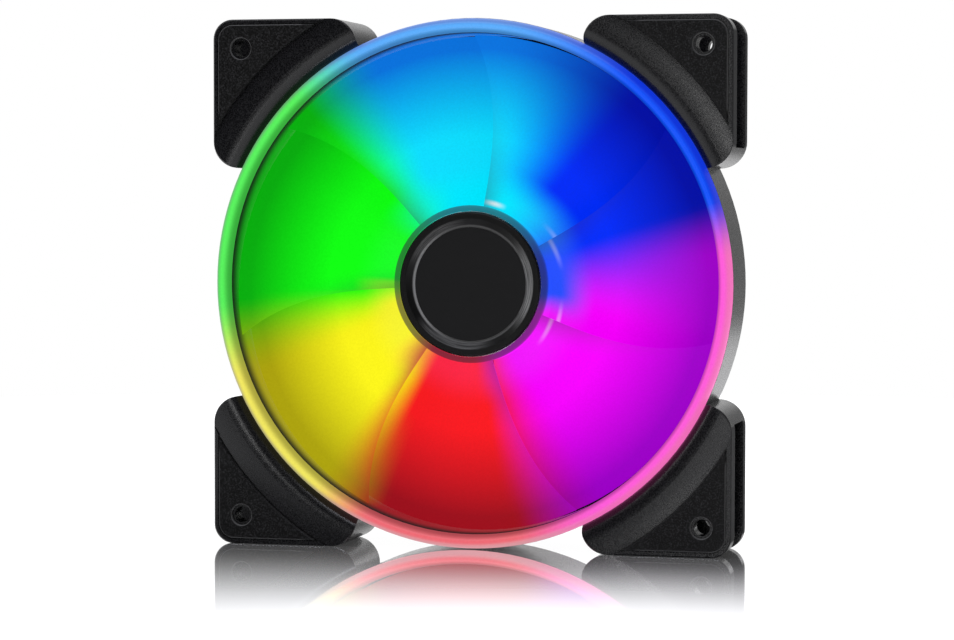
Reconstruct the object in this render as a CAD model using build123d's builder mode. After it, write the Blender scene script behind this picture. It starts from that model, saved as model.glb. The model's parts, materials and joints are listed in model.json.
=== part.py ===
from build123d import *
import os
from math import cos, radians, sin, sqrt, tan

# A 140 mm case fan that stands upright on its two lower corner blocks.
# X runs to the right, Y from the front of the fan to its back, and Z up.
# The origin is the middle of the fan: on the axis, halfway through its depth.
# Lengths are in millimetres and angles in degrees. A depth is a place along Y.

# ---- driving dimensions ----
fan_width = 140.0
fan_depth = 25.0
hole_pitch = 124.5
screw_hole_radius = 2.15

# corner blocks
block_length = 39.5
corner_radius = 5.25
block_end_radius = 7.0
pad_proud = 0.3
front_flange = 6.0
rear_flange = 4.0
groove_end_wall = 5.3
edge_break = 0.4

# rubber pads
pad_border = 1.2
pad_arc_radius = 80.0
pad_thickness = 1.1
pad_gap = 0.25
pad_hole_radius = 2.8
pad_edge_break = 0.3

# duct ring and light ring
duct_radius = 66.0
ring_radius = 69.8
light_seat = 3.75
ring_inset = 0.5
shoulder_crest_radius = 74.5
shoulder_drop = 0.45
rear_lip_radius = 64.9
rear_lip_depth = 2.5
tongue_width = 1.6
tongue_depth = 3.0

# struts and motor base
strut_count = 4
strut_direction = 57.0
strut_offset = 14.0
strut_width = 4.8
strut_depth = 4.0
strut_edge_radius = 1.2
cable_strut = 1
cable_channel_width = 3.0
cable_channel_depth = 2.0
base_radius = 21.0
base_floor = 1.2
base_rim_depth = 4.4
ledge_width = 1.2
board_gap = 0.2
label_radius = 17.5
label_thickness = 0.2

# impeller
blade_count = 7
blade_span = 58.0
blade_sweep = 14.0
tip_radius = 65.5
hub_radius = 20.8
hub_wall = 1.5
hub_shoulder = 1.3
hub_front = -9.8
hub_back = 4.5
blade_root_front = -7.8
blade_root_back = 3.2
blade_tip_front = -5.4
blade_tip_back = 4.0
blade_root_thickness = 2.0
blade_tip_thickness = 1.3
blade_camber = 1.1
blade_section_radii = (15, 24, 36, 50, 67)

# hub cap
cap_rim_height = 0.2
cap_depth = 1.8
bevel_outer_radius = 17.3
bevel_inner_radius = 15.2
bevel_depth = 1.1
disc_thickness = 0.25

# motor
fit_gap = 0.05
yoke_wall = 1.0
yoke_back = 3.6
magnet_wall = 2.0
magnet_front = -5.0
magnet_back = 3.4
shaft_radius = 1.5
shaft_front = -8.1
shaft_back = 9.7
bearing_bore_gap = 0.04
boss_neck_radius = 3.0
boss_collar_radius = 4.4
boss_collar_depth = 1.0
clip_groove_radius = 1.2
clip_groove_width = 0.4
clip_radius = 2.4
oil_seal_gap = 0.4
oil_seal_thickness = 0.6
thrust_pad_thickness = 0.8
sleeve_radius = 3.2
sleeve_front = -4.0
sleeve_back = 8.0
tube_wall = 1.3
tube_front = -5.6
boss_radius = 6.6
boss_front = 6.0
core_front = -3.2
core_back = 1.6
pole_count = 4
pole_radius = 15.7
shoe_thickness = 2.1
pole_gap = 2.4
arm_width = 4.6
core_hub_radius = 7.0
insulator_thickness = 0.8
insulator_wall = 0.6
insulator_wall_height = 2.0
coil_thickness = 1.6
coil_inner_end = 7.6
coil_outer_end = 12.8
coil_corner_radius = 1.4

# circuit board and lights
board_radius = 19.0
board_front = 7.0
board_thickness = 1.2
led_count = 6
led_width = 4.0
led_depth = 1.9
led_height = 1.6
diffuser_wall = 1.7
diffuser_front = 5.3
pin_radius = 0.3
pin_offset = 3.0
pin_proud = 0.6
pin_hole_gap = 0.1
chip_size = (4.9, 3.9, 1.4)
chip_circle = 12.5
sensor_size = (1.5, 3.0, 1.2)
capacitor_count = 3
capacitor_size = (2.0, 1.25, 1.0)
resistor_count = 6
resistor_size = (1.6, 0.8, 0.5)
resistor_circle = 14.0
terminal_count = 7
terminal_radius = 0.7
terminal_height = 0.6
terminal_circle = 15.0

# ---- places worked out from them ----
front = -fan_depth / 2
back = fan_depth / 2
flange_front = front + pad_proud
flange_back = back - pad_proud
groove_front = front + pad_proud + front_flange
groove_back = back - pad_proud - rear_flange
pad_front_floor = front + pad_thickness
pad_rear_floor = back - pad_thickness
ring_back = back - ring_inset
seat = front + light_seat
block_cross = fan_width - 2 * block_length
strut_front = ring_back - strut_depth
base_floor_front = ring_back - base_floor
base_rim_front = ring_back - base_rim_depth
board_back = board_front + board_thickness
diffuser_radius = base_radius - pad_gap
cap_front = hub_front - cap_rim_height
cap_back = cap_front + cap_depth
cap_floor = cap_front + bevel_depth
yoke_front = cap_back
clip_front = sleeve_back + 0.5
clip_back = clip_front + clip_groove_width
hub_inner_radius = hub_radius - hub_wall
yoke_radius = hub_inner_radius - fit_gap
magnet_radius = yoke_radius - yoke_wall - fit_gap
tube_radius = sleeve_radius + tube_wall
insulator_front = core_front - insulator_thickness
insulator_back = core_back + insulator_thickness
wall_back = insulator_back + insulator_wall_height
pin_back = board_back + pin_proud
shoe_inner_radius = pole_radius - shoe_thickness


# ---- shared outlines ----
def face_plane(depth):
    """Plane across the fan at a depth, local x to the right, local y up, facing the front."""
    return Plane.XZ.offset(-depth)


def radial_plane(radius, angle):
    """Plane square to a radius, local x anticlockwise seen from the front, local y to the front."""
    outward = Vector(cos(radians(angle)), 0, sin(radians(angle)))
    return Plane(origin=outward * radius, x_dir=(-outward.Z, 0, outward.X), z_dir=outward)


def half_section(*corners):
    """Face with (radius, depth) corners, to revolve about the fan's axis."""
    with BuildSketch(Plane.XY) as section:
        with BuildLine():
            Polyline(*corners, close=True)
        make_face()
    return section.sketch


def ring_section(inner_radius, outer_radius, front_depth, back_depth):
    """Rectangular half section of a plain ring or, from radius 0, of a disc."""
    return half_section(
        (inner_radius, front_depth),
        (outer_radius, front_depth),
        (outer_radius, back_depth),
        (inner_radius, back_depth),
    )


def pad_outline(depth, gap):
    """The four corner pads' outlines at a depth, smaller all round by a gap."""
    width = fan_width - 2 * (pad_border + gap)
    with BuildSketch(face_plane(depth)) as outline:
        RectangleRounded(width, width, corner_radius - pad_border)
        Circle(pad_arc_radius + gap, mode=Mode.SUBTRACT)
    return outline.sketch


def blade_section(radius, turn):
    """A blade's section on the plane square to a radius, for the blade turned by an angle."""
    share = (radius - hub_radius) / (tip_radius - hub_radius)
    half_width = radius * tan(radians(blade_span / 2))
    leading = -(blade_root_front + (blade_tip_front - blade_root_front) * share)
    trailing = -(blade_root_back + (blade_tip_back - blade_root_back) * share)
    half_thickness = (blade_root_thickness + (blade_tip_thickness - blade_root_thickness) * share) / 2
    crown = (leading + trailing) / 2 + blade_camber
    edge = half_thickness * 0.4
    with BuildSketch(radial_plane(radius, turn + blade_sweep * max(share, 0) ** 2)) as section:
        with BuildLine():
            upper = ThreePointArc(
                (half_width, leading + edge), (0, crown + half_thickness), (-half_width, trailing + edge)
            )
            lower = ThreePointArc(
                (half_width, leading - edge), (0, crown - half_thickness), (-half_width, trailing - edge)
            )
            Line(upper @ 0, lower @ 0)
            Line(upper @ 1, lower @ 1)
        make_face()
    return section.sketch


def insulator_outline(depth):
    """Hub and arms of a bobbin half at a depth."""
    arm_length = shoe_inner_radius - tube_radius
    with BuildSketch(face_plane(depth)) as outline:
        with PolarLocations(tube_radius + arm_length / 2, pole_count):
            Rectangle(arm_length, arm_width)
        Circle(core_hub_radius)
        Circle(tube_radius + fit_gap, mode=Mode.SUBTRACT)
    return outline.sketch


def insulator_walls(depth):
    """Inner collar and outer end walls of a bobbin half at a depth."""
    with BuildSketch(face_plane(depth)) as outline:
        with PolarLocations(shoe_inner_radius - insulator_wall / 2, pole_count):
            Rectangle(insulator_wall, 2 * coil_thickness + arm_width)
        Circle(core_hub_radius)
        Circle(core_hub_radius - insulator_wall, mode=Mode.SUBTRACT)
    return outline.sketch


def pin_circles(depth, radius):
    """One circle of a radius for each coil pin, at a depth."""
    with BuildSketch(face_plane(depth)) as circles:
        with PolarLocations(0, pole_count):
            with Locations((shoe_inner_radius - insulator_wall / 2, pin_offset)):
                Circle(radius)
    return circles.sketch


# ---- frame housing: duct ring, corner blocks, struts and motor base in one moulding ----
with BuildPart() as frame_housing:
    with BuildSketch(face_plane(flange_back)) as blocks:
        RectangleRounded(fan_width, fan_width, corner_radius)
        Rectangle(block_cross, fan_width, mode=Mode.SUBTRACT)
        Rectangle(fan_width, block_cross, mode=Mode.SUBTRACT)
        fillet(blocks.vertices().group_by(SortBy.DISTANCE)[1], block_end_radius)
    extrude(amount=flange_back - flange_front)
    block_faces = frame_housing.faces().sort_by(Axis.Y)
    chamfer(block_faces[:4].edges() + block_faces[-4:].edges(), edge_break)

    # the side grooves leave an end wall at both ends of each block
    with BuildSketch(face_plane(groove_back)):
        Rectangle(fan_width + 2, fan_width + 2)
        Rectangle(block_cross + 2 * groove_end_wall, fan_width + 4, mode=Mode.SUBTRACT)
        Rectangle(fan_width + 4, block_cross + 2 * groove_end_wall, mode=Mode.SUBTRACT)
        Circle(ring_radius, mode=Mode.SUBTRACT)
    extrude(amount=groove_back - groove_front, mode=Mode.SUBTRACT)

    # crowned shoulder: it rises from the light ring's seat to a crest and falls a little to the pads
    shoulder_edge = (pad_arc_radius, flange_front + shoulder_drop)
    with BuildSketch(Plane.XY):
        with BuildLine():
            EllipticalCenterArc(
                (shoulder_crest_radius, seat),
                shoulder_crest_radius - ring_radius,
                seat - flange_front,
                180,
                arc_size=90,
            )
            TangentArc((shoulder_crest_radius, flange_front), shoulder_edge, tangent=(1, 0))
            Polyline(
                shoulder_edge,
                (pad_arc_radius, front - 1),
                (0, front - 1),
                (0, seat),
                (ring_radius, seat),
            )
        make_face()
    revolve(axis=Axis.Y, mode=Mode.SUBTRACT)

    # duct ring
    revolve(ring_section(0, duct_radius + 1, seat - 1, flange_back + 1), axis=Axis.Y, mode=Mode.SUBTRACT)
    revolve(ring_section(duct_radius, ring_radius, seat, ring_back), axis=Axis.Y)
    # lip at the back of the duct, behind the gap at the blades' tips
    revolve(ring_section(rear_lip_radius, ring_radius, ring_back - rear_lip_depth, ring_back), axis=Axis.Y)

    # slanting struts, rounded towards the blades
    strut_reach = sqrt((duct_radius + 1) ** 2 - strut_offset**2)
    with BuildSketch(face_plane(ring_back)):
        with PolarLocations(0, strut_count, start_angle=strut_direction):
            with Locations((strut_reach / 2, strut_offset)):
                Rectangle(strut_reach, strut_width)
        Circle(base_radius - 0.5, mode=Mode.SUBTRACT)
    extrude(amount=strut_depth)
    strut_edges = frame_housing.edges().filter_by(GeomType.LINE).filter_by_position(
        Axis.Y, strut_front - 0.1, strut_front + 0.1
    )
    fillet(strut_edges.filter_by(lambda edge: edge.length > base_radius), strut_edge_radius)

    # motor base: a shallow cup with a ledge for the board and a boss for the bearing tube
    revolve(
        half_section(
            (0, ring_back),
            (base_radius, ring_back),
            (base_radius, base_rim_front),
            (board_radius + board_gap, base_rim_front),
            (board_radius + board_gap, board_back),
            (board_radius - ledge_width, board_back),
            (board_radius - ledge_width, base_floor_front),
            (boss_radius, base_floor_front),
            (boss_radius, boss_front),
            (tube_radius + fit_gap, boss_front),
            (tube_radius + fit_gap, base_floor_front),
            (0, base_floor_front),
        ),
        axis=Axis.Y,
    )

    # channel for the cable, along the back of one strut and out through the duct ring
    channel_start = sqrt((label_radius + 0.6) ** 2 - strut_offset**2)
    channel_length = fan_width / 2 - channel_start
    with BuildSketch(face_plane(ring_back)):
        with PolarLocations(0, 1, start_angle=strut_direction + cable_strut * 360 / strut_count):
            with Locations((channel_start + channel_length / 2, strut_offset)):
                Rectangle(channel_length, cable_channel_width)
    extrude(amount=cable_channel_depth, mode=Mode.SUBTRACT)

    # groove that holds the light ring's tongue
    ring_middle = (duct_radius + ring_radius) / 2
    revolve(
        ring_section(
            ring_middle - tongue_width / 2, ring_middle + tongue_width / 2, seat - 1, seat + tongue_depth
        ),
        axis=Axis.Y,
        mode=Mode.SUBTRACT,
    )

    # recesses for the pads and the screw holes through both flanges
    extrude(pad_outline(pad_front_floor, 0), amount=pad_thickness, mode=Mode.SUBTRACT)
    extrude(pad_outline(pad_rear_floor, 0), amount=-pad_thickness, mode=Mode.SUBTRACT)
    with BuildSketch(face_plane(back)):
        with GridLocations(hole_pitch, hole_pitch, 2, 2):
            Circle(screw_hole_radius)
    extrude(amount=fan_depth, mode=Mode.SUBTRACT)
frame_housing.part.label = "frame_housing"
export_step(frame_housing.part, "parts/frame_housing.step")

# ---- light ring: an arched frosted ring with a tongue that snaps into the frame ----
with BuildPart() as light_ring:
    light_ring_inner = duct_radius + fit_gap
    light_ring_outer = ring_radius - fit_gap
    with BuildSketch(Plane.XY):
        with BuildLine():
            EllipticalCenterArc(
                (ring_middle, seat),
                (light_ring_outer - light_ring_inner) / 2,
                light_seat,
                180,
                arc_size=180,
            )
            Polyline(
                (light_ring_outer, seat),
                (ring_middle + tongue_width / 2 - fit_gap, seat),
                (ring_middle + tongue_width / 2 - fit_gap, seat + tongue_depth - fit_gap),
                (ring_middle - tongue_width / 2 + fit_gap, seat + tongue_depth - fit_gap),
                (ring_middle - tongue_width / 2 + fit_gap, seat),
                (light_ring_inner, seat),
            )
        make_face()
    revolve(axis=Axis.Y)
light_ring.part.label = "light_ring"
export_step(light_ring.part, "parts/light_ring.step")

# ---- rubber pads: one in each corner, front and rear ----
corners = {
    "top_left": (-1, 1),
    "top_right": (1, 1),
    "bottom_left": (-1, -1),
    "bottom_right": (1, -1),
}
pad_sides = {
    "front": (pad_front_floor, pad_thickness, 0),
    "rear": (pad_rear_floor, -pad_thickness, -1),
}
for side, (floor, rise, outer_face) in pad_sides.items():
    for corner, (right, up) in corners.items():
        with BuildPart() as pad:
            extrude(pad_outline(floor, pad_gap), amount=rise)
            with BuildSketch(face_plane(floor)):
                with Locations((right * hole_pitch / 2, up * hole_pitch / 2)):
                    Circle(pad_hole_radius)
            extrude(amount=rise, mode=Mode.SUBTRACT)
            with BuildSketch(face_plane(floor)):
                with Locations((right * fan_width / 4, up * fan_width / 4)):
                    Rectangle(fan_width / 2, fan_width / 2)
            extrude(amount=rise, mode=Mode.INTERSECT)
            chamfer(pad.faces().sort_by(Axis.Y)[outer_face].edges(), pad_edge_break)
        pad.part.label = f"{side}_pad_{corner}"
        export_step(pad.part, f"parts/{side}_pad_{corner}.step")

# ---- impeller: hub skirt and blades in one frosted moulding ----
with BuildPart() as impeller:
    revolve(ring_section(hub_inner_radius, hub_radius, hub_front, hub_back), axis=Axis.Y)
    fillet(impeller.edges().group_by(Axis.Y)[0].sort_by(SortBy.RADIUS)[-1], hub_shoulder)
    for number in range(blade_count):
        turn = number * 360 / blade_count
        loft([blade_section(radius, turn) for radius in blade_section_radii])
    revolve(ring_section(0, hub_inner_radius, front, back), axis=Axis.Y, mode=Mode.SUBTRACT)
    revolve(ring_section(tip_radius, 2 * tip_radius, front, back), axis=Axis.Y, mode=Mode.SUBTRACT)
impeller.part.label = "impeller"
export_step(impeller.part, "parts/impeller.step")

# ---- hub cap: black disc with a bevel round a sunk face ----
with BuildPart() as hub_cap:
    revolve(
        half_section(
            (0, cap_back),
            (hub_inner_radius - pad_gap, cap_back),
            (hub_inner_radius - pad_gap, cap_front + edge_break),
            (hub_inner_radius - pad_gap - edge_break, cap_front),
            (bevel_outer_radius, cap_front),
            (bevel_inner_radius, cap_floor),
            (0, cap_floor),
        ),
        axis=Axis.Y,
    )
hub_cap.part.label = "hub_cap"
export_step(hub_cap.part, "parts/hub_cap.step")

# ---- blank disc let into the cap ----
with BuildPart() as hub_disc:
    revolve(
        ring_section(0, bevel_inner_radius - pad_gap, cap_floor - disc_thickness, cap_floor), axis=Axis.Y
    )
hub_disc.part.label = "hub_disc"
export_step(hub_disc.part, "parts/hub_disc.step")

# ---- rotor yoke: steel cup inside the hub ----
with BuildPart() as rotor_yoke:
    revolve(
        half_section(
            (boss_neck_radius + fit_gap, yoke_front),
            (yoke_radius, yoke_front),
            (yoke_radius, yoke_back),
            (yoke_radius - yoke_wall, yoke_back),
            (yoke_radius - yoke_wall, yoke_front + yoke_wall),
            (boss_neck_radius + fit_gap, yoke_front + yoke_wall),
        ),
        axis=Axis.Y,
    )
rotor_yoke.part.label = "rotor_yoke"
export_step(rotor_yoke.part, "parts/rotor_yoke.step")

# ---- rotor magnet: ring inside the yoke ----
with BuildPart() as rotor_magnet:
    revolve(
        ring_section(magnet_radius - magnet_wall, magnet_radius, magnet_front, magnet_back), axis=Axis.Y
    )
rotor_magnet.part.label = "rotor_magnet"
export_step(rotor_magnet.part, "parts/rotor_magnet.step")

# ---- shaft boss: stepped brass bush that joins the shaft to the yoke ----
with BuildPart() as shaft_boss:
    revolve(
        half_section(
            (shaft_radius + fit_gap, yoke_front),
            (boss_neck_radius, yoke_front),
            (boss_neck_radius, yoke_front + yoke_wall),
            (boss_collar_radius, yoke_front + yoke_wall),
            (boss_collar_radius, yoke_front + yoke_wall + boss_collar_depth),
            (shaft_radius + fit_gap, yoke_front + yoke_wall + boss_collar_depth),
        ),
        axis=Axis.Y,
    )
shaft_boss.part.label = "shaft_boss"
export_step(shaft_boss.part, "parts/shaft_boss.step")

# ---- shaft with a groove for its clip ----
with BuildPart() as shaft:
    revolve(ring_section(0, shaft_radius, shaft_front, shaft_back), axis=Axis.Y)
    chamfer(shaft.edges().group_by(Axis.Y)[0] + shaft.edges().group_by(Axis.Y)[-1], edge_break / 2)
    revolve(
        ring_section(clip_groove_radius, shaft_radius + 1, clip_front, clip_back),
        axis=Axis.Y,
        mode=Mode.SUBTRACT,
    )
shaft.part.label = "shaft"
export_step(shaft.part, "parts/shaft.step")

# ---- shaft clip: split ring in the shaft's groove ----
with BuildPart() as shaft_clip:
    with BuildSketch(face_plane(clip_back - fit_gap)):
        Circle(clip_radius)
        Circle(clip_groove_radius + fit_gap, mode=Mode.SUBTRACT)
        with Locations((0, -clip_radius)):
            Rectangle(clip_groove_radius, 2 * clip_radius, mode=Mode.SUBTRACT)
    extrude(amount=clip_back - clip_front - 2 * fit_gap)
shaft_clip.part.label = "shaft_clip"
export_step(shaft_clip.part, "parts/shaft_clip.step")

# ---- bearing tube: brass tube that stands in the motor base ----
with BuildPart() as bearing_tube:
    revolve(ring_section(sleeve_radius, tube_radius, tube_front, base_floor_front), axis=Axis.Y)
bearing_tube.part.label = "bearing_tube"
export_step(bearing_tube.part, "parts/bearing_tube.step")

# ---- bearing sleeve: sintered bush with chamfered bore ends ----
with BuildPart() as bearing_sleeve:
    revolve(
        ring_section(shaft_radius + bearing_bore_gap, sleeve_radius - fit_gap, sleeve_front, sleeve_back),
        axis=Axis.Y,
    )
    bore_ends = bearing_sleeve.edges().filter_by(GeomType.CIRCLE).sort_by(SortBy.RADIUS)[:2]
    chamfer(bore_ends, edge_break)
bearing_sleeve.part.label = "bearing_sleeve"
export_step(bearing_sleeve.part, "parts/bearing_sleeve.step")

# ---- oil seal: washer that closes the front of the bearing ----
with BuildPart() as oil_seal:
    revolve(
        ring_section(
            shaft_radius + oil_seal_gap,
            sleeve_radius - fit_gap,
            sleeve_front - oil_seal_thickness,
            sleeve_front,
        ),
        axis=Axis.Y,
    )
oil_seal.part.label = "oil_seal"
export_step(oil_seal.part, "parts/oil_seal.step")

# ---- thrust pad: the wear plate behind the end of the shaft ----
with BuildPart() as thrust_pad:
    revolve(
        ring_section(0, sleeve_radius - fit_gap, base_floor_front - thrust_pad_thickness, base_floor_front),
        axis=Axis.Y,
    )
thrust_pad.part.label = "thrust_pad"
export_step(thrust_pad.part, "parts/thrust_pad.step")

# ---- stator core: stack of laminations with one shoe on each pole ----
with BuildPart() as stator_core:
    with BuildSketch(face_plane(core_back)):
        Circle(pole_radius)
        Circle(shoe_inner_radius, mode=Mode.SUBTRACT)
        with PolarLocations(pole_radius, pole_count, start_angle=180 / pole_count):
            Rectangle(4 * shoe_thickness, pole_gap, mode=Mode.SUBTRACT)
        arm_length = shoe_inner_radius + shoe_thickness / 2 - tube_radius
        with PolarLocations(tube_radius + arm_length / 2, pole_count):
            Rectangle(arm_length, arm_width)
        Circle(core_hub_radius)
        Circle(tube_radius + fit_gap, mode=Mode.SUBTRACT)
    extrude(amount=core_back - core_front)
stator_core.part.label = "stator_core"
export_step(stator_core.part, "parts/stator_core.step")

# ---- bobbin halves: insulators in front of and behind the core ----
with BuildPart() as upper_insulator:
    extrude(insulator_outline(core_front), amount=insulator_thickness)
    extrude(insulator_walls(insulator_front), amount=insulator_wall_height)
upper_insulator.part.label = "upper_insulator"
export_step(upper_insulator.part, "parts/upper_insulator.step")

with BuildPart() as lower_insulator:
    extrude(insulator_outline(core_back), amount=-insulator_thickness)
    extrude(insulator_walls(insulator_back), amount=-insulator_wall_height)
lower_insulator.part.label = "lower_insulator"
export_step(lower_insulator.part, "parts/lower_insulator.step")

# ---- stator coils: one winding round each arm ----
for number in range(pole_count):
    with BuildPart() as stator_coil:
        with BuildSketch(radial_plane(coil_inner_end, number * 360 / pole_count)):
            with Locations((0, -(core_front + core_back) / 2)):
                winding_height = insulator_back - insulator_front
                RectangleRounded(
                    arm_width + 2 * coil_thickness, winding_height + 2 * coil_thickness, coil_corner_radius
                )
                Rectangle(arm_width, winding_height, mode=Mode.SUBTRACT)
        extrude(amount=coil_outer_end - coil_inner_end)
    stator_coil.part.label = f"stator_coil_{number + 1}"
    export_step(stator_coil.part, f"parts/stator_coil_{number + 1}.step")

# ---- coil pins: they run from the bobbin's end walls through the board ----
with BuildPart() as coil_pins:
    extrude(pin_circles(pin_back, pin_radius), amount=pin_back - wall_back)
coil_pins.part.label = "coil_pins"
export_step(coil_pins.part, "parts/coil_pins.step")

# ---- driver board: round board on the ledge of the motor base ----
with BuildPart() as driver_board:
    with BuildSketch(face_plane(board_back)):
        Circle(board_radius)
        Circle(boss_radius + board_gap, mode=Mode.SUBTRACT)
    extrude(amount=board_thickness)
    extrude(pin_circles(board_back, pin_radius + pin_hole_gap), amount=board_thickness, mode=Mode.SUBTRACT)
driver_board.part.label = "driver_board"
export_step(driver_board.part, "parts/driver_board.step")

# ---- light-emitting diodes: side-firing, standing on the front of the board's edge ----
for number in range(led_count):
    angle = 90 - number * 360 / led_count
    with BuildPart() as led:
        with BuildSketch(radial_plane(board_radius - board_gap - led_depth, angle)):
            with Locations((0, -(board_front - led_height / 2))):
                Rectangle(led_width, led_height)
        extrude(amount=led_depth)
    led.part.label = f"led_{number + 1}"
    export_step(led.part, f"parts/led_{number + 1}.step")

# ---- light diffuser: frosted ring round the diodes, standing on the base's rim ----
with BuildPart() as led_diffuser:
    revolve(
        ring_section(diffuser_radius - diffuser_wall, diffuser_radius, diffuser_front, base_rim_front),
        axis=Axis.Y,
    )
    chamfer(led_diffuser.edges().group_by(Axis.Y)[0], edge_break)
led_diffuser.part.label = "led_diffuser"
export_step(led_diffuser.part, "parts/led_diffuser.step")

# ---- what the board carries: chips on its back, the magnet's sensor on its front ----
with BuildPart() as driver_ic:
    with BuildSketch(face_plane(board_back)):
        with Locations((0, chip_circle)):
            Rectangle(chip_size[0], chip_size[1])
    extrude(amount=-chip_size[2])
driver_ic.part.label = "driver_ic"
export_step(driver_ic.part, "parts/driver_ic.step")

with BuildPart() as hall_sensor:
    with BuildSketch(face_plane(board_front)):
        with Locations((magnet_radius - magnet_wall, 0)):
            Rectangle(sensor_size[0], sensor_size[1])
    extrude(amount=sensor_size[2])
hall_sensor.part.label = "hall_sensor"
export_step(hall_sensor.part, "parts/hall_sensor.step")

with BuildPart() as board_capacitors:
    with BuildSketch(face_plane(board_back)):
        with PolarLocations(chip_circle, capacitor_count, start_angle=-15, angular_range=-60):
            Rectangle(capacitor_size[0], capacitor_size[1])
    extrude(amount=-capacitor_size[2])
board_capacitors.part.label = "board_capacitors"
export_step(board_capacitors.part, "parts/board_capacitors.step")

with BuildPart() as board_resistors:
    with BuildSketch(face_plane(board_back)):
        with PolarLocations(resistor_circle, resistor_count, start_angle=200, angular_range=90):
            Rectangle(resistor_size[0], resistor_size[1])
    extrude(amount=-resistor_size[2])
board_resistors.part.label = "board_resistors"
export_step(board_resistors.part, "parts/board_resistors.step")

# ---- soldered ends of the cable's wires, by the cable channel ----
with BuildPart() as cable_terminals:
    with BuildSketch(face_plane(board_back)):
        with PolarLocations(terminal_circle, terminal_count, start_angle=115, angular_range=66):
            Circle(terminal_radius)
    extrude(amount=-terminal_height)
cable_terminals.part.label = "cable_terminals"
export_step(cable_terminals.part, "parts/cable_terminals.step")

# ---- blank label on the back of the motor base ----
with BuildPart() as rear_label:
    revolve(ring_section(0, label_radius, ring_back, ring_back + label_thickness), axis=Axis.Y)
rear_label.part.label = "rear_label"
export_step(rear_label.part, "parts/rear_label.step")
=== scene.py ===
import json
from math import cos, pi, radians, sin

import bpy
from mathutils import Matrix, Vector


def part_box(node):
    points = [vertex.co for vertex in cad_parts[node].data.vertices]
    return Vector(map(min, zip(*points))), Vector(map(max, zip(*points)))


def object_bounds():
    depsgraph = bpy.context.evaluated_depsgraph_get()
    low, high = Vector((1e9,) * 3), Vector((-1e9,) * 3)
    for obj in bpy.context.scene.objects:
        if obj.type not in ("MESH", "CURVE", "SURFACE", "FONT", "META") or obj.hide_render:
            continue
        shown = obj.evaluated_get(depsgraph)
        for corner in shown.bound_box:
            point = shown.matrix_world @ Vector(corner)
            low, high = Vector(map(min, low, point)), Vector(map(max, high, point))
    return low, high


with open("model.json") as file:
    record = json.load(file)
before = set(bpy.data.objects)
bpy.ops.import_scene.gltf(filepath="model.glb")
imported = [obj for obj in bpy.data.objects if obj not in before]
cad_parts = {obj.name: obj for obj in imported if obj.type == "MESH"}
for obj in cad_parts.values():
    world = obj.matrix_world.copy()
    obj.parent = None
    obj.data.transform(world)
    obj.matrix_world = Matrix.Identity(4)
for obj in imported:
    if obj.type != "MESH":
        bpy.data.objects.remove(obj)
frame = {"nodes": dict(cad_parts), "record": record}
cad_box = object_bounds()
nodes = frame["nodes"]

MM = 0.001

# ---- sizes that the frame's boxes don't give ----
LIGHT_RING_WIDTH = 3.7 * MM
TONGUE_DEPTH = 3.0 * MM
BLOCK_LENGTH = 39.5 * MM
PAST_PAD_ARC = 81.5 * MM
BLADE_SETBACK = 2.0 * MM
TIP_GAP = 0.5 * MM
BEVEL_WIDTH = 2.2 * MM

# ---- places, from the frame ----
HALF_WIDTH = cad_box[1][0]
HALF_DEPTH = cad_box[1][1]
FLOOR = cad_box[0][2]
RING_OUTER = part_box("light_ring")[1][0]
RING_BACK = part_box("light_ring")[1][1] - TONGUE_DEPTH
PAD_FACE = -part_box("front_pad_top_left")[0][1]
BLOCK_END = HALF_WIDTH - BLOCK_LENGTH
HUB_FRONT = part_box("impeller")[0][1]
BLADE_FRONT = HUB_FRONT + BLADE_SETBACK
BLADE_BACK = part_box("impeller")[1][1]
DUCT_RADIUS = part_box("impeller")[1][0] + TIP_GAP
BEVEL_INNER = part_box("hub_disc")[1][0]
BEVEL_OUTER = BEVEL_INNER + BEVEL_WIDTH

# ---- the camera ----
CAMERA_AZIMUTH = 13.89
CAMERA_ELEVATION = 2.48
CAMERA_ROLL = 0.10
CAMERA_DISTANCE = 0.778
CAMERA_TARGET = Vector((-0.00037, 0.0, -0.0098))
CAMERA_LENS = 110.3
SENSOR_WIDTH = 36.0

# ---- the studio ----
WHITE = (1.0, 1.0, 1.0)
FLOOR_RADIUS = 0.6
FLOOR_STEPS = 96
FLOOR_GLOW = 0.85
MIRROR_STRENGTH = 0.96
MIRROR_REACH = 0.155
MIRROR_SIDES = (0.015, 0.05)
MIRROR_BEHIND = 0.025
MIRROR_ON_THE_LEFT = 0.72
DIM_FRONT = 0.03
BRIGHT_BACK = 1.0
FRONT_TO_BACK = (-0.85, 0.5)
FLAG_AZIMUTH = 155
FLAG_EDGE = (0.85, 0.97)
FLAG_SHADE = 0.3
# name, azimuth, elevation, distance, size, power, colour
SOFTBOXES = (
    ("left_softbox", -70, 20, 1.0, (0.3, 0.5), 1.5, WHITE),
    ("top_softbox", -10, 68, 0.9, (0.9, 0.3), 7.0, (0.90, 0.91, 1.0)),
    ("front_softbox", 6, -2, 1.0, (0.14, 0.6), 2.4, WHITE),
)

# ---- fineness of the grain, as noise scales per metre ----
FINE_GRAIN = 2600
RUBBER_GRAIN = 2300
FROST_GRAIN = 1800
TURNED_RINGS = 6000

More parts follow.
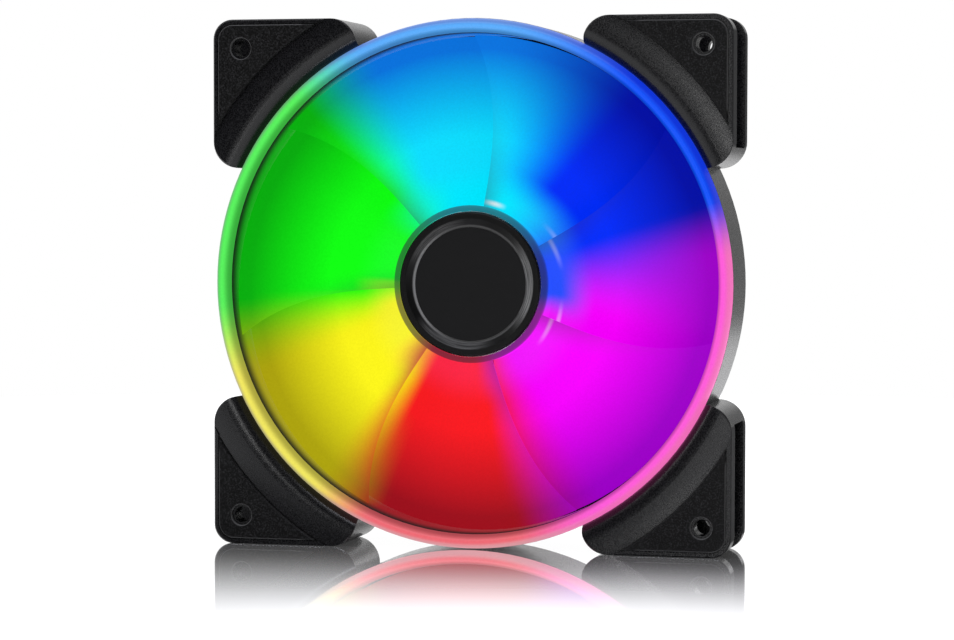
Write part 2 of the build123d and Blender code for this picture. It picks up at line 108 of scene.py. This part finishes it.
# ---- the six lights' colours ----
# Each colour fills a range of angles round the axis, seen from the front, anticlockwise from +X.
# The ranges and the colours change from the hub outwards.
LIGHTS = {
    "yellow": {
        "hub_range": (-165, -145),
        "blade_range": (-158, -132),
        "rim_range": (-157, -130),
        "by_hub": (0.92, 0.88, 0.03),
        "halfway": (0.95, 0.89, 0.01),
        "blade_tip": (0.42, 0.37, 0.005),
        "ring": (0.84, 0.76, 0.11),
        "ring_edge": (0.40, 0.36, 0.16),
    },
    "red": {
        "hub_range": (-117, -88),
        "blade_range": (-118, -83),
        "rim_range": (-113, -80),
        "by_hub": (0.95, 0.02, 0.06),
        "halfway": (0.93, 0.01, 0.015),
        "blade_tip": (0.34, 0.006, 0.013),
        "ring": (0.82, 0.14, 0.17),
        "ring_edge": (0.66, 0.30, 0.33),
    },
    "magenta": {
        "hub_range": (-60, -24),
        "blade_range": (-57, -15),
        "rim_range": (-57, 6),
        "by_hub": (0.88, 0.01, 0.97),
        "halfway": (0.92, 0.00, 0.98),
        "blade_tip": (0.34, 0.00, 0.58),
        "ring": (0.95, 0.10, 0.66),
        "ring_edge": (0.84, 0.15, 0.47),
    },
    "blue": {
        "hub_range": (-6, 14),
        "blade_range": (20, 49),
        "rim_range": (19, 48),
        "by_hub": (0.02, 0.08, 0.97),
        "halfway": (0.00, 0.025, 0.92),
        "blade_tip": (0.00, 0.004, 0.37),
        "ring": (0.004, 0.085, 0.92),
        "ring_edge": (0.005, 0.035, 0.66),
    },
    "cyan": {
        "hub_range": (72, 100),
        "blade_range": (82, 112),
        "rim_range": (84, 114),
        "by_hub": (0.00, 0.78, 0.97),
        "halfway": (0.003, 0.71, 0.97),
        "blade_tip": (0.003, 0.17, 0.72),
        "ring": (0.10, 0.40, 0.93),
        "ring_edge": (0.105, 0.23, 0.62),
    },
    "green": {
        "hub_range": (150, 176),
        "blade_range": (135, 182),
        "rim_range": (135, 184),
        "by_hub": (0.01, 0.95, 0.02),
        "halfway": (0.005, 0.97, 0.006),
        "blade_tip": (0.003, 0.42, 0.005),
        "ring": (0.09, 0.84, 0.10),
        "ring_edge": (0.12, 0.40, 0.14),
    },
}

# Painted glints, short bright arcs painted into the glow beside the hub: middle angle, half their angle,
# radius, half their width, strength.
PAINTED_GLINTS = (
    (74, 9, 22.0 * MM, 1.0 * MM, 0.75),
    (25, 18, 24.2 * MM, 1.0 * MM, 0.20),
    (-26, 18, 23.6 * MM, 0.9 * MM, 0.24),
)
# Where the hub's colours give way to the blades', and where the blades' colours fall to the tips'.
HUB_TO_BLADE = (23 * MM, 33 * MM)
BLADE_TO_TIP = (39 * MM, 62 * MM)
SHOULDER_DEPTH = 3.5 * MM
SHOULDER_LIGHT = 0.22
# A grey sheen painted into the glow on the hub's shoulder.
SHOULDER_PAINTED_SHEEN = (0.015, 0.015, 0.025)
# The blades' light is painted as a glow on the duct's wall: dark by the light ring and bright by the blades.
WALL_DEPTH = 8 * MM
WALL_LIGHT = (0.03, 0.9)
# Painted highlights on the cap's bevel, in wide bright arcs: middle angle, half their angle, strength.
PAINTED_BEVEL_ARCS = (
    (128, 38, 0.4),
    (0, 48, 1.0),
    (-108, 45, 0.4),
)
# The grey of the painted highlights on the bevel.
PAINTED_BEVEL_GREY = (0.20, 0.20, 0.20)


# ---- node helpers ----
class Nodes:
    """A material's node tree, with short calls to add and join nodes."""

    def __init__(self, name):
        self.material = bpy.data.materials.new(name)
        self.material.use_nodes = True
        self.tree = self.material.node_tree
        self.shader = self.tree.nodes["Principled BSDF"]

    def add(self, kind, **settings):
        node = self.tree.nodes.new(kind)
        for key, value in settings.items():
            setattr(node, key, value)
        return node

    def join(self, source, target):
        self.tree.links.new(source, target)

    def fill(self, socket, value):
        """Joins an output to a socket, or gives it a number or a colour."""
        if isinstance(value, (int, float)):
            socket.default_value = value
        elif isinstance(value, tuple):
            socket.default_value = (*value, 1.0)
        else:
            self.join(value, socket)

    def set(self, **values):
        """Fills the shader's own sockets."""
        for name, value in values.items():
            self.fill(self.shader.inputs[name.replace("_", " ")], value)

    def math(self, operation, first, second=0.0, clamp=False):
        node = self.add("ShaderNodeMath", operation=operation, use_clamp=clamp)
        self.fill(node.inputs[0], first)
        self.fill(node.inputs[1], second)
        return node.outputs[0]

    def product(self, first, *others):
        for other in others:
            first = self.math("MULTIPLY", first, other)
        return first

    def spread(self, value, start, end, low=0.0, high=1.0, smooth=True):
        """Low up to start and high from end on, with a smooth or a straight rise between them."""
        kind = "SMOOTHSTEP" if smooth else "LINEAR"
        node = self.add("ShaderNodeMapRange", interpolation_type=kind)
        for socket, number in zip(node.inputs, (value, start, end, low, high)):
            self.fill(socket, number)
        return node.outputs[0]

    def varied(self, noise, low, high):
        """A number that follows a noise between two values."""
        return self.spread(noise, 0.3, 0.7, low, high)

    def ramp(self, factor, stops, interpolation="LINEAR"):
        node = self.add("ShaderNodeValToRGB")
        node.color_ramp.interpolation = interpolation
        elements = node.color_ramp.elements
        while len(elements) < len(stops):
            elements.new(0.5)
        for element, (place, colour) in zip(elements, stops):
            element.position = place
            element.color = (*colour, 1.0)
        self.join(factor, node.inputs[0])
        return node.outputs[0]

    def mix(self, factor, first, second, blend="MIX"):
        """Mixes two colours. Places 0, 6 and 7 are the node's factor and its two colours."""
        node = self.add("ShaderNodeMix", data_type="RGBA", blend_type=blend)
        for place, value in ((0, factor), (6, first), (7, second)):
            self.fill(node.inputs[place], value)
        return node.outputs[2]

    def scale(self, colour, factor):
        """A colour made brighter or darker by a number."""
        node = self.add("ShaderNodeVectorMath", operation="SCALE")
        self.join(colour, node.inputs[0])
        self.fill(node.inputs["Scale"], factor)
        return node.outputs[0]

    def noise(self, scale, detail=2.0, roughness=0.5, vector=None):
        node = self.add("ShaderNodeTexNoise")
        node.inputs["Scale"].default_value = scale
        node.inputs["Detail"].default_value = detail
        node.inputs["Roughness"].default_value = roughness
        self.join(vector or self.add("ShaderNodeTexCoord").outputs["Object"], node.inputs["Vector"])
        return node.outputs["Fac"]

    def bump(self, height, strength, distance):
        node = self.add("ShaderNodeBump")
        node.inputs["Strength"].default_value = strength
        node.inputs["Distance"].default_value = distance
        self.join(height, node.inputs["Height"])
        self.join(node.outputs["Normal"], self.shader.inputs["Normal"])


class Place:
    """Where a point is: its turn and radius round the fan's axis, its depth, and how far beside and above."""

    def __init__(self, m, position):
        parts = m.add("ShaderNodeSeparateXYZ")
        m.join(position, parts.inputs[0])
        x, y, z = parts.outputs
        self.depth = y
        self.beside = m.math("ABSOLUTE", x)
        self.above = m.math("ABSOLUTE", z)
        self.turn = m.math("ARCTAN2", z, x)
        self.radius = m.math("SQRT", m.math("ADD", m.math("MULTIPLY", x, x), m.math("MULTIPLY", z, z)))


def standing(m):
    """Places in the studio, which stay with the lights when the rotor turns."""
    return Place(m, m.add("ShaderNodeNewGeometry").outputs["Position"])


def turning(m):
    """Places on the piece, which turn with it."""
    return Place(m, m.add("ShaderNodeTexCoord").outputs["Object"])


# ---- the light in the fan ----
def colours_round(m, turn, range_name, colour_name):
    """The lights' colours round the axis, each over its range of angles."""
    stops = []
    for light in LIGHTS.values():
        start, end = light[range_name]
        stops += [(start, light[colour_name]), (end, light[colour_name])]
    first, last = stops[0], stops[-1]
    if last[0] > 180:
        # the last colour goes on past the seam at 180 degrees
        seam = last[1]
        stops = [(last[0] - 360, seam), *stops[:-1]]
    else:
        share = (180 - last[0]) / (first[0] + 360 - last[0])
        seam = tuple(a + (b - a) * share for a, b in zip(last[1], first[1]))
    stops = [(-180, seam), *stops, (180, seam)]
    along = m.math("ADD", m.math("DIVIDE", turn, 2 * pi), 0.5)
    return m.ramp(along, [(angle / 360 + 0.5, colour) for angle, colour in stops], "EASE")


def painted_hub_glints(m, place):
    """How strong the painted glints beside the hub are."""
    total = 0.0
    for angle, half_angle, radius, half_width, strength in PAINTED_GLINTS:
        round_off = m.math("ABSOLUTE", m.math("SUBTRACT", place.turn, radians(angle)))
        out_off = m.math("ABSOLUTE", m.math("SUBTRACT", place.radius, radius))
        along = m.spread(round_off, 0.0, radians(half_angle), strength, 0.0)
        across = m.spread(out_off, 0.0, half_width, 1.0, 0.0)
        total = m.math("ADD", m.product(along, across), total)
    return total


def blade_light(m, place):
    """The colour that shines out of the impeller, with painted glints beside the hub."""
    by_hub = colours_round(m, place.turn, "hub_range", "by_hub")
    halfway = colours_round(m, place.turn, "blade_range", "halfway")
    at_tip = colours_round(m, place.turn, "rim_range", "blade_tip")
    outer = m.mix(m.spread(place.radius, *BLADE_TO_TIP, smooth=False), halfway, at_tip)
    whole = m.mix(m.spread(place.radius, *HUB_TO_BLADE), by_hub, outer)
    return m.mix(painted_hub_glints(m, place), whole, WHITE, "SCREEN")


# ---- materials ----
def black_housing():
    """Satin black plastic with a fine grain. The duct's wall in front of the struts is dull, with the blades'
    coloured light painted on it as a glow.
    """
    m = Nodes("black_housing")
    place = standing(m)
    grain = m.noise(FINE_GRAIN, 3, 0.7)
    m.set(Base_Color=m.ramp(grain, [(0.4, (0.002, 0.002, 0.0025)), (0.7, (0.009, 0.009, 0.010))]))

    past_wall = m.spread(place.radius, DUCT_RADIUS + 0.1 * MM, DUCT_RADIUS + 0.4 * MM)
    up_to_wall = m.spread(place.radius, DUCT_RADIUS - 4.0 * MM, DUCT_RADIUS - 3.0 * MM)
    before_struts = m.spread(place.depth, BLADE_BACK + 2.0 * MM, BLADE_BACK + 3.0 * MM, 1.0, 0.0)
    on_wall = m.product(m.math("SUBTRACT", up_to_wall, past_wall, clamp=True), before_struts)

    # the blocks' outer sides are duller than the rest
    at_side = m.spread(place.beside, HALF_WIDTH - 0.3 * MM, HALF_WIDTH - 0.05 * MM, 0.0, 0.85)
    on_block = m.spread(place.above, BLOCK_END - 1.0 * MM, BLOCK_END + 4.0 * MM)
    dull = m.math("MAXIMUM", on_wall, m.product(at_side, on_block))
    m.set(Roughness=m.math("MAXIMUM", m.varied(grain, 0.20, 0.33), dull))

    # the blades' coloured light, painted as a glow on the duct's wall
    wall_light = m.spread(place.depth, RING_BACK, RING_BACK + WALL_DEPTH, *WALL_LIGHT)
    painted_wall_glow = m.scale(blade_light(m, place), m.product(on_wall, wall_light))
    m.set(Emission_Color=painted_wall_glow, Emission_Strength=1.0, Specular_IOR_Level=0.3)
    m.bump(grain, 0.45, 0.05 * MM)
    return m.material


def rubber_pad():
    """Dull black rubber with a speckled grain and painted highlights, paler edges on its outer sides."""
    m = Nodes("rubber_pad")
    place = standing(m)
    grain = m.noise(RUBBER_GRAIN, 2, 0.75)
    speckle = m.ramp(grain, [(0.48, (0.001, 0.001, 0.001)), (0.75, (0.024, 0.024, 0.025))])
    # painted highlights: the edges on the pad's outer sides are paler
    from_middle = m.math("ABSOLUTE", place.depth)
    painted_edge_highlight = m.spread(from_middle, PAD_FACE - 0.12 * MM, PAD_FACE - 0.04 * MM, 1.0, 0.0)
    past_arc = m.spread(place.radius, PAST_PAD_ARC, PAST_PAD_ARC + 1.0 * MM)
    m.set(Base_Color=m.mix(m.product(painted_edge_highlight, past_arc), speckle, (0.05, 0.05, 0.05)))
    m.set(Roughness=m.varied(grain, 0.36, 0.6), Specular_IOR_Level=0.11)
    m.bump(grain, 0.9, 0.10 * MM)
    return m.material


def frosted_light(m, lit, frost, low_roughness, high_roughness, specular):
    """Sets a frosted plastic that glows with a colour."""
    # the base colour is a dim copy of the glow's colour: painted light on the frosted plastic
    m.set(Emission_Color=lit, Emission_Strength=1.0, Base_Color=m.scale(lit, 0.05))
    m.set(Roughness=m.varied(frost, low_roughness, high_roughness), Specular_IOR_Level=specular)
    m.bump(frost, 0.1, 0.03 * MM)


def frosted_impeller():
    """Frosted clear plastic, full of the lights' colours and dimmer on the hub's shoulder, with painted shade
    on the blades' deeper parts and a painted grey sheen on the shoulder.
    """
    m = Nodes("frosted_impeller")
    place = standing(m)
    frost = m.noise(FROST_GRAIN, 3, 0.6)
    shoulder = m.spread(place.depth, HUB_FRONT, HUB_FRONT + SHOULDER_DEPTH, SHOULDER_LIGHT, 1.0)
    # painted shade: the blades' glow falls by a tenth from their front to their back
    behind = m.spread(place.depth, BLADE_FRONT, BLADE_BACK, 1.0, 0.9, smooth=False)
    clear = m.scale(blade_light(m, place), m.product(shoulder, behind, m.varied(frost, 0.97, 1.03)))
    # a grey sheen painted on the hub's shoulder
    on_shoulder = m.spread(place.depth, HUB_FRONT, HUB_FRONT + SHOULDER_DEPTH, 1.0, 0.0)
    lit = m.mix(on_shoulder, clear, SHOULDER_PAINTED_SHEEN, "ADD")
    frosted_light(m, lit, frost, 0.42, 0.55, 0.03)
    return m.material


def frosted_ring():
    """Frosted ring light guide: deep in colour at its inner edge, where painted shade dims the inner lip, and
    dimmer and mostly paler towards its outer edge, a painted haze of white light.
    """
    m = Nodes("frosted_ring")
    place = standing(m)
    frost = m.noise(FROST_GRAIN, 3, 0.6)
    near = colours_round(m, place.turn, "rim_range", "ring")
    edge = colours_round(m, place.turn, "rim_range", "ring_edge")
    outward = m.spread(place.radius, RING_OUTER - LIGHT_RING_WIDTH, RING_OUTER, smooth=False)
    # painted haze: towards the outer edge the glow turns to the dimmer, mostly paler ring_edge colours
    light = m.mix(m.spread(outward, 0.45, 0.85), near, edge)
    # painted shade: the glow is dimmer along the inner lip
    inner_lip_shade = m.spread(outward, 0.0, 0.4, 0.45, 1.0)
    lit = m.scale(light, m.product(inner_lip_shade, m.varied(frost, 0.97, 1.03)))
    frosted_light(m, lit, frost, 0.3, 0.42, 0.1)
    return m.material


def frosted_diffuser():
    """The bright ring that the lights shine into."""
    m = Nodes("frosted_diffuser")
    light = m.mix(0.25, blade_light(m, standing(m)), WHITE)
    # the base colour is a dim copy of the glow's colour: painted light on the frosted plastic
    m.set(Emission_Color=light, Emission_Strength=1.5, Base_Color=m.scale(light, 0.4))
    m.set(Roughness=m.varied(m.noise(FROST_GRAIN), 0.4, 0.5))
    return m.material


def painted_bevel_shine(m, turn, rings):
    """How bright the painted highlights on the cap's bevel are: streaks in wide arcs, which stay with the
    lights.
    """
    shine = 0.0
    for angle, half_angle, strength in PAINTED_BEVEL_ARCS:
        apart = m.math("ABSOLUTE", m.math("SUBTRACT", turn, radians(angle)))
        arc = m.spread(apart, radians(half_angle * 0.3), radians(half_angle), strength, 0.0)
        shine = m.math("ADD", arc, shine)
    return m.product(m.spread(rings, 0.35, 0.68, 0.15, 1.0), shine)


def satin_cap():
    """Black cap whose bevel has fine turned rings, with painted highlights: wide arcs, and a bright first
    ring, mostly on the left.
    """
    m = Nodes("satin_cap")
    place = turning(m)
    light_turn = standing(m).turn
    bevel_start = m.spread(place.radius, BEVEL_INNER - 0.1 * MM, BEVEL_INNER + 0.1 * MM)
    bevel_end = m.spread(place.radius, BEVEL_OUTER - 0.1 * MM, BEVEL_OUTER + 0.1 * MM, 1.0, 0.0)
    round_and_out = m.add("ShaderNodeCombineXYZ")
    m.join(m.product(place.radius, TURNED_RINGS), round_and_out.inputs[0])
    m.join(m.product(place.turn, 1.6), round_and_out.inputs[1])
    rings = m.noise(1.0, 3, 0.6, round_and_out.outputs[0])

    # painted highlight: a bright first ring on the bevel, mostly on the left
    painted_first_ring = m.spread(place.radius, BEVEL_INNER + 0.4 * MM, BEVEL_INNER + 0.9 * MM, 1.0, 0.0)
    on_left = m.spread(m.math("ABSOLUTE", light_turn), radians(105), radians(150), 0.35, 1.0)
    bright = m.math("MAXIMUM", painted_bevel_shine(m, light_turn, rings), m.product(painted_first_ring, on_left))
    # the bevel's base colour turns grey where the highlights are painted
    m.set(Base_Color=m.mix(m.product(bevel_start, bevel_end, bright), (0.002, 0.002, 0.002), PAINTED_BEVEL_GREY))
    m.set(Roughness=m.varied(rings, 0.28, 0.42), Specular_IOR_Level=0.15)
    m.bump(rings, 0.12, 0.02 * MM)
    return m.material


def plain(name, colour, roughness, metallic=0.0, bump=0.0, scale=900.0, specular=0.5):
    """A plain finish with a slight variation in colour and roughness."""
    m = Nodes(name)
    fine = m.noise(scale, 3, 0.6)
    dark = tuple(c * 0.85 for c in colour)
    light = tuple(min(c * 1.12, 1.0) for c in colour)
    m.set(Base_Color=m.ramp(fine, [(0.3, dark), (0.7, light)]), Metallic=metallic)
    m.set(Roughness=m.varied(fine, roughness - 0.05, roughness + 0.05), Specular_IOR_Level=specular)
    if bump:
        m.bump(fine, bump, 0.05 * MM)
    return m.material


finishes = {
    "black_housing": black_housing(),
    "rubber_pad": rubber_pad(),
    "frosted_impeller": frosted_impeller(),
    "frosted_ring": frosted_ring(),
    "satin_cap": satin_cap(),
    "cap_disc": plain("cap_disc", (0.004, 0.004, 0.0043), 0.5, bump=0.2, scale=FINE_GRAIN, specular=0.13),
    "led_package": plain("led_package", (0.9, 0.9, 0.85), 0.4),
    "frosted_diffuser": frosted_diffuser(),
    "circuit_board": plain("circuit_board", (0.02, 0.05, 0.03), 0.4),
    "copper_winding": plain("copper_winding", (0.72, 0.30, 0.12), 0.3, 1.0),
    "laminations": plain("laminations", (0.42, 0.43, 0.45), 0.4, 1.0),
    "bobbin": plain("bobbin", (0.75, 0.73, 0.66), 0.5),
    "rotor_steel": plain("rotor_steel", (0.55, 0.55, 0.57), 0.35, 1.0),
    "ferrite": plain("ferrite", (0.05, 0.05, 0.055), 0.6),
    "shaft_steel": plain("shaft_steel", (0.7, 0.7, 0.72), 0.2, 1.0),
    "brass_tube": plain("brass_tube", (0.78, 0.57, 0.25), 0.3, 1.0),
    "sintered_bronze": plain("sintered_bronze", (0.5, 0.34, 0.2), 0.5, 1.0),
    "grey_washer": plain("grey_washer", (0.22, 0.22, 0.23), 0.5),
    "wear_plate": plain("wear_plate", (0.55, 0.46, 0.33), 0.5),
    "tinned_metal": plain("tinned_metal", (0.75, 0.75, 0.76), 0.3, 1.0),
    "black_chip": plain("black_chip", (0.015, 0.015, 0.015), 0.5),
    "ceramic_capacitor": plain("ceramic_capacitor", (0.45, 0.3, 0.17), 0.5),
    "chip_resistor": plain("chip_resistor", (0.02, 0.02, 0.02), 0.45),
    "blank_label": plain("blank_label", (0.04, 0.04, 0.045), 0.35),
}
for part in frame["record"]["subparts"]:
    mesh = nodes[part["node"]].data
    mesh.materials.clear()
    mesh.materials.append(finishes[part["material_slot"]])


# ---- stage ----
def floor_mirror(m):
    """How much the floor mirrors: most by the fan, and less and less in front of it."""
    parts = m.add("ShaderNodeSeparateXYZ")
    m.join(m.add("ShaderNodeNewGeometry").outputs["Position"], parts.inputs[0])
    x, y, z = parts.outputs
    beside = m.math("SUBTRACT", m.math("ABSOLUTE", x), HALF_WIDTH)
    before = m.math("SUBTRACT", m.math("ABSOLUTE", y), HALF_DEPTH)
    away = m.math("MAXIMUM", m.math("MAXIMUM", beside, before), 0.0)
    # the mirror reaches a little further on the left
    away = m.product(away, m.spread(x, -HALF_WIDTH, HALF_WIDTH, MIRROR_ON_THE_LEFT, 1.0))
    not_behind = m.spread(y, HALF_DEPTH, HALF_DEPTH + MIRROR_BEHIND, 1.0, 0.0)
    between = m.product(m.spread(beside, *MIRROR_SIDES, 1.0, 0.0), not_behind)
    return m.product(m.spread(away, 0.0, MIRROR_REACH, MIRROR_STRENGTH, 0.0), between)


def white_floor():
    """White floor that mirrors the fan close by."""
    m = Nodes("studio_floor")
    m.set(Base_Color=(0.5, 0.5, 0.5), Roughness=1.0, Specular_IOR_Level=0.0)
    m.set(Emission_Color=WHITE, Emission_Strength=FLOOR_GLOW)
    gloss = m.add("ShaderNodeBsdfGlossy")
    m.fill(gloss.inputs["Color"], WHITE)
    m.fill(gloss.inputs["Roughness"], 0.02)
    both = m.add("ShaderNodeMixShader")
    m.join(floor_mirror(m), both.inputs[0])
    m.join(m.shader.outputs[0], both.inputs[1])
    m.join(gloss.outputs[0], both.inputs[2])
    m.join(both.outputs[0], m.tree.nodes["Material Output"].inputs["Surface"])
    return m.material


def add_floor():
    """A round white floor, small enough for the front of the fan to reflect little of it."""
    angles = [2 * pi * step / FLOOR_STEPS for step in range(FLOOR_STEPS)]
    rim = [(FLOOR_RADIUS * cos(angle), FLOOR_RADIUS * sin(angle), FLOOR) for angle in angles]
    mesh = bpy.data.meshes.new("studio_floor")
    mesh.from_pydata(rim, [], [list(range(FLOOR_STEPS))])
    mesh.materials.append(white_floor())
    floor = bpy.data.objects.new("studio_floor", mesh)
    bpy.context.scene.collection.objects.link(floor)


def towards(azimuth, elevation):
    """Direction from the fan; the azimuth is positive to the right of the front."""
    azimuth, elevation = radians(azimuth), radians(elevation)
    return Vector((sin(azimuth) * cos(elevation), -cos(azimuth) * cos(elevation), sin(elevation)))


def add_softbox(name, azimuth, elevation, distance, size, power, colour):
    """A soft light that faces the fan."""
    away = towards(azimuth, elevation)
    light = bpy.data.lights.new(name, "AREA")
    light.shape = "RECTANGLE"
    light.size, light.size_y = size
    light.energy = power
    light.color = colour
    lamp = bpy.data.objects.new(name, light)
    lamp.location = away * distance
    lamp.rotation_euler = away.to_track_quat("Z", "Y").to_euler()
    bpy.context.scene.collection.objects.link(lamp)


def world_level(tree, value, edges, low, high):
    """A level of the surroundings that goes smoothly from low to high between two edges of a value."""
    node = tree.nodes.new("ShaderNodeMapRange")
    node.interpolation_type = "SMOOTHSTEP"
    for socket, number in zip(node.inputs[1:5], (*edges, low, high)):
        socket.default_value = number
    tree.links.new(value, node.inputs[0])
    return node.outputs[0]


def world_math(tree, operation, first, second):
    node = tree.nodes.new("ShaderNodeMath")
    node.operation = operation
    tree.links.new(first, node.inputs[0])
    tree.links.new(second, node.inputs[1])
    return node.outputs[0]


def add_world():
    """Surroundings that are dim in front of the fan, brighter behind it, and white where they are seen."""
    world = bpy.data.worlds.new("studio")
    world.use_nodes = True
    tree = world.node_tree
    direction = tree.nodes.new("ShaderNodeTexCoord").outputs["Generated"]
    parts = tree.nodes.new("ShaderNodeSeparateXYZ")
    tree.links.new(direction, parts.inputs[0])
    level = world_level(tree, parts.outputs["Y"], FRONT_TO_BACK, DIM_FRONT, BRIGHT_BACK)

    # a flag behind the fan, which the right-hand sides reflect
    flag = tree.nodes.new("ShaderNodeVectorMath")
    flag.operation = "DOT_PRODUCT"
    flag.inputs[1].default_value = towards(FLAG_AZIMUTH, 0)
    tree.links.new(direction, flag.inputs[0])
    shade = world_level(tree, flag.outputs["Value"], FLAG_EDGE, 1.0, FLAG_SHADE)

    seen = tree.nodes.new("ShaderNodeLightPath").outputs["Is Camera Ray"]
    strength = world_math(tree, "MAXIMUM", seen, world_math(tree, "MULTIPLY", level, shade))
    background = tree.nodes["Background"]
    background.inputs["Color"].default_value = (*WHITE, 1.0)
    tree.links.new(strength, background.inputs["Strength"])
    bpy.context.scene.world = world


def add_camera():
    back = towards(CAMERA_AZIMUTH, CAMERA_ELEVATION)
    data = bpy.data.cameras.new("camera")
    data.lens = CAMERA_LENS
    data.sensor_width = SENSOR_WIDTH
    camera = bpy.data.objects.new("camera", data)
    turn = back.to_track_quat("Z", "Y").to_matrix() @ Matrix.Rotation(radians(CAMERA_ROLL), 3, "Z")
    camera.matrix_world = Matrix.Translation(CAMERA_TARGET + back * CAMERA_DISTANCE) @ turn.to_4x4()
    bpy.context.scene.collection.objects.link(camera)
    bpy.context.scene.camera = camera


add_floor()
add_world()
for softbox in SOFTBOXES:
    add_softbox(*softbox)
add_camera()
bpy.context.scene.view_settings.view_transform = "Standard"
